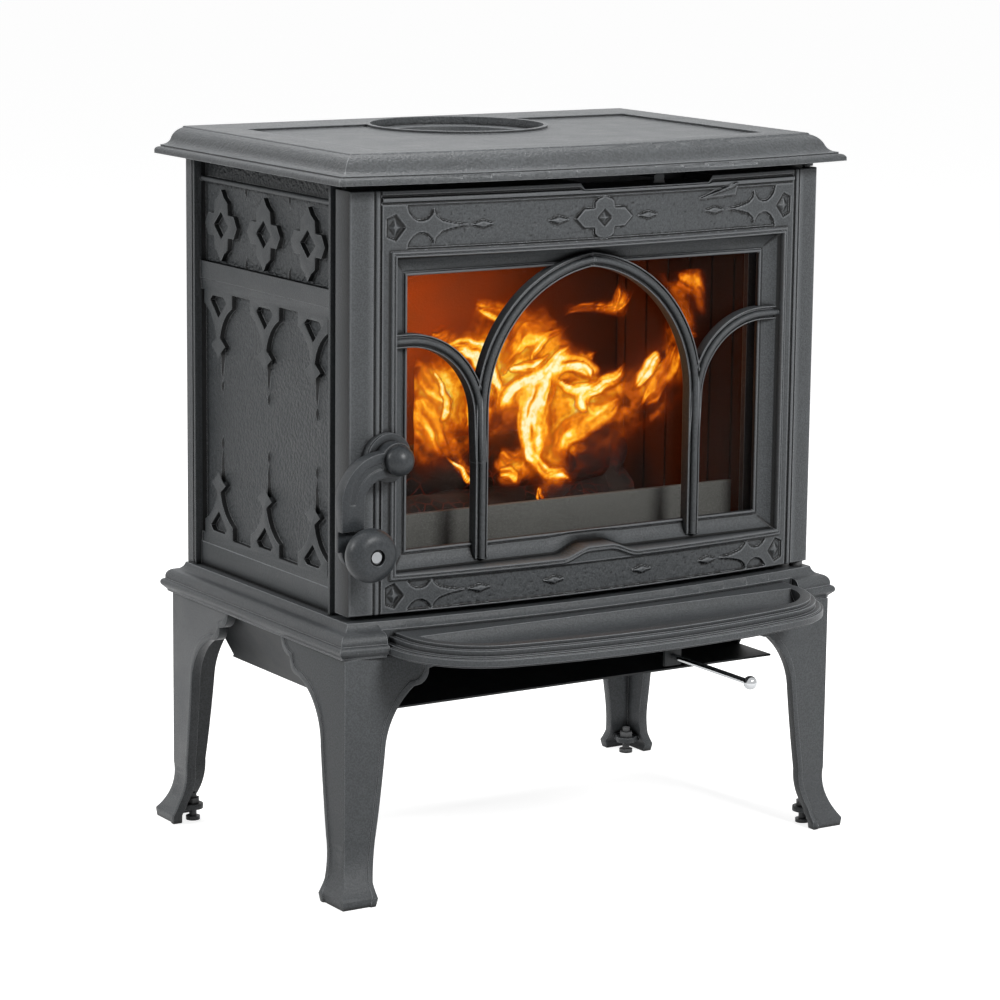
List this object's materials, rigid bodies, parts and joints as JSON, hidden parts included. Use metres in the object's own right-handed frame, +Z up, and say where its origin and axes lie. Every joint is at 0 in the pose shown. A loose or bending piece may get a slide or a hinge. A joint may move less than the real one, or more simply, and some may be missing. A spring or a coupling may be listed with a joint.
{
  "type": "wood burning stove",
  "caption": "Cast iron wood burning stove: box body on curved legs, bowed moulded top, arched glass door with a turn handle, front ash lip and a round flue outlet in the top.",
  "frame": {"origin": "on the floor, below the middle of the whole stove's box", "axes": "+X to the right as seen from the front, +Y to the back, +Z up"},
  "size_m": [0.6132, 0.5156, 0.731],
  "materials": {
    "painted_iron": "matte heat-proof dark grey paint over a fine sand-cast grain",
    "handle_iron": "matte dark grey paint, smooth",
    "firebox_iron": "raw iron, sooted",
    "steel_sheet": "matte dark grey paint",
    "steel_fittings": "plain steel",
    "bright_screw": "bright steel",
    "bright_chrome": "polished",
    "seal_rope": "woven glass fibre",
    "glass": "clear heat-proof glass ceramic"
  },
  "bodies": {
    "stove": {"top_plate": "painted_iron", "flue_collar": "painted_iron", "flue_collar_screws": "steel_fittings", "side_panel_left": "painted_iron", "side_panel_right": "painted_iron", "back_plate": "painted_iron", "rear_heat_shield": "steel_sheet", "shield_spacers": "steel_fittings", "shield_screws": "steel_fittings", "base_plate": "painted_iron", "tie_rods": "steel_fittings", "tie_rod_nuts": "steel_fittings", "ash_lip": "painted_iron", "ash_lip_bolts": "steel_fittings", "leg_front_left": "painted_iron", "leg_front_right": "painted_iron", "leg_rear_left": "painted_iron", "leg_rear_right": "painted_iron", "leg_bolts": "steel_fittings", "levelling_screws": "steel_fittings", "levelling_nuts": "steel_fittings", "bottom_heat_shield": "steel_sheet", "bottom_shield_screws": "steel_fittings", "front_frame": "painted_iron", "latch_catch": "handle_iron", "inner_bottom": "firebox_iron", "grate": "firebox_iron", "burn_plate_left": "firebox_iron", "burn_plate_right": "firebox_iron", "burn_plate_back": "firebox_iron", "baffle_plate": "firebox_iron", "log_guard": "firebox_iron", "air_wash_duct": "steel_sheet", "air_valve_track": "steel_sheet", "ignition_guide": "steel_sheet", "ignition_rails": "steel_sheet"},
    "door": {"door_frame": "painted_iron", "door_glass": "glass", "glass_gasket": "seal_rope", "glass_clips": "steel_fittings", "glass_clip_screws": "steel_fittings", "door_rope_seal": "seal_rope", "hinge_pin_lower": "steel_fittings", "hinge_pin_upper": "steel_fittings", "handle_pad": "handle_iron"},
    "handle": {"handle_arm": "handle_iron", "handle_cap": "handle_iron", "handle_ferrule": "handle_iron", "handle_knob": "handle_iron", "knob_screw": "bright_screw", "handle_shaft": "steel_fittings", "latch_hook": "handle_iron", "latch_nut": "steel_fittings"},
    "air_control": {"air_lever": "handle_iron", "air_valve_plate": "steel_sheet"},
    "ignition_control": {"ignition_shutter": "steel_sheet", "ignition_rod": "bright_chrome", "ignition_ball": "bright_chrome"}
  },
  "joints": [
    {"name": "door_hinge", "type": "hinge", "parent": "stove", "child": "door", "pos_m": [0.269, -0.0978, 0], "axis": [0, 0, 1], "range_deg": [0, 110]},
    {"name": "handle_turn", "type": "hinge", "parent": "door", "child": "handle", "pos_m": [-0.24, -0.1058, 0.439], "axis": [0, 1, 0], "range_deg": [-12, 60]},
    {"name": "air_lever_slide", "type": "slide", "parent": "stove", "child": "air_control", "axis": [1, 0, 0], "range_m": [-0.08, 0.04]},
    {"name": "ignition_rod_slide", "type": "slide", "parent": "stove", "child": "ignition_control", "axis": [0, -1, 0], "range_m": [0, 0.03]}
  ]
}
